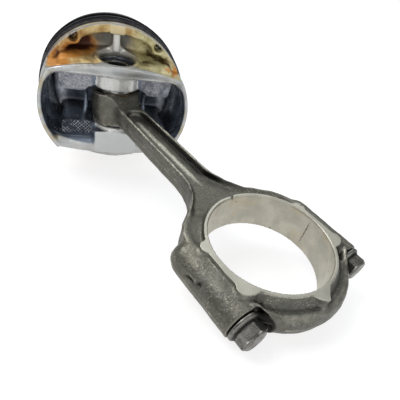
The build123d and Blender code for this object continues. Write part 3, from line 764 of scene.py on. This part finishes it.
def machined_steel(m, at, fine, pits):
    """Ground thrust faces and bores, stained by oil, with a torn line where the cap was cracked off."""
    stain = m.span(m.noise(at, 9.0, 4.0, 0.55), 0.35, 0.68)
    face = m.mix(stain, (0.47, 0.455, 0.385), (0.385, 0.37, 0.31))
    bore = m.mix(stain, (0.50, 0.475, 0.395), (0.37, 0.355, 0.30))
    tan = m.times(m.span(m.noise(at, 15.0, 3.0), 0.50, 0.66), 0.55)
    bore = m.mix(tan, bore, (0.46, 0.38, 0.25))
    bright = m.mix(m.field("faced"), bore, face)
    bright = m.mix(m.span(fine, 0.35, 0.70, 0.0, 0.30), bright, (0.56, 0.55, 0.50))
    along, _, height = m.axes(at)
    wander = m.times(m.math("SUBTRACT", m.noise(at, 0.9, 2.0), 0.5), 1.3)
    torn = m.span(m.absolute(m.math("ADD", along, wander)), 0.30, 0.10)
    torn = m.times(torn, m.span(m.absolute(m.math("ADD", height, -0.5)), 7.5, 5.5))
    return m.mix(m.math("MAXIMUM", pits, m.times(torn, 0.9)), bright, (0.05, 0.045, 0.04))


def forged_steel():
    m = Shade("forged_steel")
    at = m.place()
    machined = m.field("machined")
    patch = m.noise(at, 6.0, 5.0, 0.6)
    grain = m.noise(at, 1.1, 3.0, 0.6)
    fine = m.noise(at, 0.35, 2.0, 0.6, stretch=(0.35, 0.35, 2.5))
    pits = m.times(m.span(m.cells(at, 3.6), 0.13, 0.07), m.span(m.noise(at, 12.0, 2.0), 0.48, 0.56))
    speck = m.cells(at, 0.9)
    is_machined = m.span(machined, 0.4, 0.6)
    skin = forged_skin(m, at, grain, patch, speck)
    colour = m.mix(is_machined, skin, machined_steel(m, at, fine, pits))
    edge = m.span(m.absolute(m.math("SUBTRACT", machined, 0.5)), 0.45, 0.2)
    colour = m.mix(m.times(edge, 0.35), colour, (0.26, 0.25, 0.21))
    rough_skin = m.span(patch, 0.3, 0.7, 0.42, 0.58)
    rough_face = m.span(fine, 0.3, 0.7, 0.38, 0.50)
    relief = m.math("ADD", m.times(speck, 0.6), grain)
    normal = m.bump(m.times(relief, m.math("SUBTRACT", 1.0, machined)), 0.11)
    normal = m.bump(m.times(fine, machined), 0.012, normal)
    normal = m.bump(m.times(pits, -1.0), 0.08, normal)
    rough = m.blend(is_machined, rough_skin, rough_face)
    return m.finish(Base_Color=colour, Metallic=1.0, Roughness=rough, Normal=normal)


def turned_alloy(m, at, patch, lines):
    """Skirt and lands: turned, and brown with varnish towards the corners."""
    _, across, _ = m.axes(at)
    bare = m.mix(m.span(patch, 0.35, 0.70), (0.43, 0.435, 0.435), (0.32, 0.33, 0.33))
    bare = m.mix(m.span(lines, 0.35, 0.70, 0.0, 0.30), bare, (0.70, 0.70, 0.69))
    to_corner = m.span(m.absolute(across), 26.0, 40.0, 0.12, 0.70)
    smear = m.span(m.noise(at, 12.0, 5.0, 0.6), 0.46, 0.64)
    return m.mix(m.times(smear, to_corner), bare, (0.42, 0.36, 0.22))


def stained_casting_and_painted_light(m, at, patch, cloud, ridge):
    """Side pockets: gold and olive from hot oil, burnt in places, clean in the middle, with painted highlights on
    edges, painted shade in corners, and a bare rib painted brighter than its shade.
    """
    _, across, _ = m.axes(at)
    gold = m.mix(m.span(cloud, 0.34, 0.66), (0.44, 0.30, 0.110), (0.70, 0.56, 0.28))
    gold = m.mix(m.span(m.noise(at, 2.2, 4.0, 0.6), 0.50, 0.72, 0.0, 0.4), gold, (0.27, 0.18, 0.06))
    ledge = m.mix(m.span(cloud, 0.36, 0.66), (0.36, 0.22, 0.070), (0.58, 0.45, 0.22))
    gold = m.mix(m.times(m.field("ledge"), 0.8), gold, ledge)
    olive = m.mix(m.span(cloud, 0.36, 0.64), (0.43, 0.375, 0.180), (0.64, 0.59, 0.35))
    gold = m.mix(m.span(across, 6.0, 16.0), gold, olive)
    clean = m.mix(m.span(patch, 0.35, 0.68), (0.21, 0.205, 0.18), (0.125, 0.12, 0.10))
    stained = m.mix(m.field("clean"), gold, clean)
    stained = m.mix(m.ragged("orange", cloud), stained, (0.55, 0.240, 0.045))
    stained = m.mix(m.ragged("streak", cloud), stained, (0.095, 0.062, 0.020))
    stained = m.mix(m.ragged("burn", cloud), stained, (0.060, 0.016, 0.006))
    # Painted highlights on standing edges, and painted shade in the corners.
    stained = m.mix(m.span(ridge, 0.16, 0.40, 0.0, 0.7), stained, (0.60, 0.56, 0.45))
    stained = m.mix(m.span(ridge, -0.12, -0.40, 0.0, 0.45), stained, (0.08, 0.055, 0.03))
    # Bare rib painted brighter than its shade, and a painted highlight on the top of the boss ring.
    stained = m.mix(m.times(m.field("silver"), 0.95), stained, (0.97, 0.96, 0.92))
    return m.mix(m.times(m.field("ledge_pad"), 0.8), stained, (0.66, 0.56, 0.34))


def knurl(m, at, cloud):
    """Crackled grey on the upper shelves; the lower ones are painted black as shade, under a bright crosshatch."""
    up, _, _ = m.axes(at)
    crackle = m.span(m.cells(at, 1.8, "DISTANCE_TO_EDGE"), 0.12, 0.03)
    crackle = m.times(crackle, m.span(cloud, 0.62, 0.46, 0.0, 0.7))
    grey = m.mix(m.span(cloud, 0.40, 0.62), (0.27, 0.28, 0.315), (0.17, 0.18, 0.21))
    grey = m.mix(crackle, grey, (0.52, 0.53, 0.56))
    scraped = m.times(m.math("POWER", m.hatch(at, 2.3), 2.0), m.span(cloud, 0.42, 0.56))
    # Lower shelves painted black as shade.
    black = m.mix(scraped, (0.024, 0.030, 0.046), (0.50, 0.52, 0.54))
    return m.mix(m.span(up, -4.0, 4.0), black, grey)


def oily_inside_and_painted_light(m, at, patch, cloud, ridge, lines):
    """Blue-black oil film inside, with painted highlights on edges, streaks of painted reflection and a patch of
    painted shade; knurled shelves; and the turned faces of the bosses and the lip.
    """
    navy = m.mix(m.span(patch, 0.35, 0.68), (0.155, 0.185, 0.235), (0.078, 0.096, 0.130))
    navy = m.mix(m.span(m.noise(at, 15.0, 3.0), 0.44, 0.60, 0.0, 0.75), navy, (0.030, 0.034, 0.044))
    # Painted highlight on standing edges.
    navy = m.mix(m.span(ridge, 0.08, 0.35), navy, (0.30, 0.32, 0.36))
    # Painted reflections in streaks on the inner walls and the roof.
    navy = m.mix(m.times(m.field("sheen"), 0.95), navy, (0.78, 0.82, 0.88))
    navy = m.mix(m.times(m.field("shade"), 0.85), navy, (0.022, 0.020, 0.020))
    navy = m.mix(m.field("knurl"), navy, knurl(m, at, cloud))
    boss = m.mix(m.span(lines, 0.35, 0.70), (0.58, 0.58, 0.56), (0.43, 0.43, 0.415))
    return m.mix(m.math("MAXIMUM", m.field("boss"), m.field("lip")), navy, boss)


def piston_metal():
    m = Shade("piston_metal")
    at = m.place()
    machined = m.field("machined")
    ridge = m.field("ridge")
    inside = m.field("inside")
    outside = m.field("outside")
    crown = m.field("crown")
    patch = m.noise(at, 7.0, 5.0, 0.6)
    cloud = m.noise(at, 4.0, 5.0, 0.65)
    grain = m.noise(at, 0.9, 3.0, 0.6)
    _, _, height = m.axes(at)
    lines = m.noise(m.node("CombineXYZ", Z=height).outputs[0], 0.5, 2.0, 0.6)

    colour = m.mix(outside, turned_alloy(m, at, patch, lines), stained_casting_and_painted_light(m, at, patch, cloud, ridge))
    colour = m.mix(inside, colour, oily_inside_and_painted_light(m, at, patch, cloud, ridge, lines))
    colour = m.mix(m.times(m.field("pad"), 0.8), colour, (0.52, 0.53, 0.53))
    soot = m.span(m.noise(at, 16.0, 6.0, 0.6), 0.36, 0.66)
    soot = m.mix(soot, (0.034, 0.030, 0.027), (0.085, 0.076, 0.064))
    soot = m.mix(m.span(ridge, 0.03, 0.12, 0.0, 0.6), soot, (0.22, 0.20, 0.17))
    colour = m.mix(crown, colour, soot)

    dull = m.math("MAXIMUM", outside, crown)
    metallic = m.math("SUBTRACT", 1.0, m.times(m.math("MAXIMUM", dull, inside), 0.5))
    rough = m.math("ADD", m.span(patch, 0.3, 0.7, 0.32, 0.46), m.times(dull, 0.10))
    rough = m.math("SUBTRACT", rough, m.times(inside, 0.10))
    normal = m.bump(m.times(grain, m.math("SUBTRACT", 1.0, machined)), 0.12)
    normal = m.bump(m.times(m.hatch(at, 1.5), m.field("knurl")), -0.25, normal)
    normal = m.bump(m.times(lines, machined), 0.012, normal)
    return m.finish(Base_Color=colour, Metallic=metallic, Roughness=rough, Normal=normal)


def bolt_steel():
    """Black bolts whose edges and flats are rubbed bright by wear, with painted shade in their creases and under
    their flanges.
    """
    m = Shade("bolt_steel")
    at = m.place()
    ridge = m.field("ridge")
    patch = m.noise(at, 3.0, 5.0, 0.6)
    grain = m.noise(at, 0.6, 3.0, 0.6)
    steel = m.mix(m.span(patch, 0.35, 0.68), (0.175, 0.170, 0.155), (0.065, 0.062, 0.056))
    steel = m.mix(m.span(grain, 0.40, 0.75, 0.0, 0.5), steel, (0.34, 0.33, 0.30))
    steel = m.mix(m.times(m.span(ridge, 0.04, 0.15), 0.95), steel, (0.80, 0.79, 0.75))
    # Painted shade in the creases.
    steel = m.mix(m.span(ridge, -0.04, -0.20), steel, (0.012, 0.012, 0.010))
    # Painted shade in the corner under the head and under the flange.
    steel = m.mix(m.times(m.field("oil"), 0.92), steel, (0.010, 0.010, 0.009))
    rough = m.span(patch, 0.3, 0.7, 0.34, 0.50)
    return m.finish(Base_Color=steel, Metallic=1.0, Roughness=rough, Normal=m.bump(grain, 0.05))


def small_metal(name, light, dark, rough):
    """Turned or ground metal of a small part, with smears of oil and fine marks."""
    m = Shade(name)
    at = m.object_mm()
    patch = m.noise(at, 4.0, 4.0, 0.6)
    fine = m.noise(at, 0.25, 2.0, 0.6)
    colour = m.mix(m.span(patch, 0.35, 0.68), light, dark)
    colour = m.mix(m.span(fine, 0.45, 0.80, 0.0, 0.35), colour, tuple(min(1.0, 1.5 * c) for c in light))
    roughness = m.span(patch, 0.3, 0.7, rough, rough + 0.14)
    return m.finish(Base_Color=colour, Metallic=1.0, Roughness=roughness, Normal=m.bump(fine, 0.02))


def dress(pieces, material):
    """Give pieces their one material."""
    for piece in pieces:
        piece.data.materials.clear()
        piece.data.materials.append(material)


dress([rod_piece, cap_piece], forged_steel())
dress([piston_piece], piston_metal())
dress(bolts, bolt_steel())

# CAD nodes that keep their own meshes
finishes = {
    "top_compression_ring": small_metal("ring_steel", (0.035, 0.035, 0.04), (0.012, 0.012, 0.016), 0.28),
    "second_compression_ring": small_metal("ring_iron", (0.05, 0.05, 0.055), (0.02, 0.02, 0.024), 0.36),
    "oil_ring_upper_rail": small_metal("rail_steel", (0.09, 0.09, 0.10), (0.04, 0.04, 0.05), 0.30),
    "wrist_pin": small_metal("pin_steel", (0.34, 0.34, 0.34), (0.18, 0.18, 0.18), 0.20),
    "circlip_upper": small_metal("circlip_steel", (0.22, 0.22, 0.22), (0.10, 0.10, 0.10), 0.28),
    # Bronze painted dark as shade, where the bushing's end shows in the gap under the boss.
    "small_end_bushing": small_metal("bushing_bronze", (0.110, 0.080, 0.052), (0.055, 0.043, 0.030), 0.36),
}
same_as = {
    "oil_ring_lower_rail": "oil_ring_upper_rail",
    "oil_ring_expander": "oil_ring_upper_rail",
    "circlip_lower": "circlip_upper",
}
for name in list(finishes) + list(same_as):
    material = finishes[same_as.get(name, name)]
    for slot in nodes[name].material_slots:
        slot.material = material

# ---------------------------------------------------------------- floor, light and camera
FLOOR_RADIUS = 3.0
FLOOR_DROP = 0.0003  # below the lowest point of the CAD
FLOOR_GLOW = 0.76
SKY_GLOW = 0.24

floor_height = cad_box[0][2] - FLOOR_DROP
bpy.ops.mesh.primitive_circle_add(
    vertices=96, radius=FLOOR_RADIUS, fill_type="NGON", location=(0, 0, floor_height)
)
floor = bpy.context.object
floor.name = "floor"
pale = Shade("floor_pale")
speckle = pale.noise(pale.object_mm(), 3.0, 3.0)
tone = pale.mix(speckle, (0.36, 0.36, 0.36), (0.34, 0.34, 0.34))
pale.finish(Base_Color=tone, Roughness=0.8, Emission_Color=(1.0, 1.0, 1.0), Emission_Strength=FLOOR_GLOW)
floor.data.materials.append(pale.material)


def soft_sun(name, shines_from, strength, spread, colour=(1, 1, 1)):
    """Distant lamp as broad as spread degrees, which shines from a way given in the rod's frame."""
    lamp = bpy.data.lights.new(name, "SUN")
    lamp.energy = strength
    lamp.angle = math.radians(spread)
    lamp.color = colour
    holder = bpy.data.objects.new(name, lamp)
    bpy.context.scene.collection.objects.link(holder)
    way = Vector(ROD[1] @ np.array(shines_from, float))
    holder.rotation_euler = way.to_track_quat("Z", "Y").to_euler()


soft_sun("key", (-0.66, -0.30, 0.72), strength=1.7, spread=40)
soft_sun("back", (-0.50, 0.56, 0.66), strength=0.7, spread=50, colour=(0.96, 0.98, 1.0))
soft_sun("front", (0.60, -0.62, 0.50), strength=0.7, spread=40)
soft_sun("open_end", (0.80, 0.20, 0.55), strength=0.7, spread=50)

# The camera sees a white sky, and the object is lit by a dimmer one.
world = bpy.data.worlds.new("studio")
bpy.context.scene.world = world
world.use_nodes = True
sky = world.node_tree
sky.nodes.clear()
shown = sky.nodes.new("ShaderNodeBackground")
lit = sky.nodes.new("ShaderNodeBackground")
either = sky.nodes.new("ShaderNodeMixShader")
path = sky.nodes.new("ShaderNodeLightPath")
sky_out = sky.nodes.new("ShaderNodeOutputWorld")
shown.inputs[0].default_value = (1, 1, 1, 1)
shown.inputs[1].default_value = 1.0
lit.inputs[0].default_value = (0.95, 0.98, 1.0, 1)
lit.inputs[1].default_value = SKY_GLOW
sky.links.new(path.outputs["Is Camera Ray"], either.inputs[0])
sky.links.new(lit.outputs[0], either.inputs[1])
sky.links.new(shown.outputs[0], either.inputs[2])
sky.links.new(either.outputs[0], sky_out.inputs[0])

CAMERA_PLACE = (54.24, -107.64, 113.88)  # in ROD, like the two directions below
CAMERA_UP = (-0.6301, 0.2863, 0.7218)
CAMERA_BACK = (0.4991, -0.5629, 0.6589)
CAMERA_SENSOR = 36.0
CAMERA_LENS = 31.557
CAMERA_SHIFT = (-0.0164, 0.0394)

camera = bpy.data.objects.new("camera", bpy.data.cameras.new("camera"))
bpy.context.scene.collection.objects.link(camera)
back = Vector(ROD[1] @ np.array(CAMERA_BACK)).normalized()
up = Vector(ROD[1] @ np.array(CAMERA_UP))
right = up.cross(back).normalized()
up = back.cross(right)
camera_pose = Matrix((right, up, back)).transposed().to_4x4()
camera_pose.translation = Vector(to_shared(np.array(CAMERA_PLACE), ROD))
camera.matrix_world = camera_pose
camera.data.sensor_width = CAMERA_SENSOR
camera.data.lens = CAMERA_LENS
camera.data.shift_x, camera.data.shift_y = CAMERA_SHIFT
camera.data.clip_start = 0.005
bpy.context.scene.camera = camera
bpy.context.scene.view_settings.view_transform = "Standard"
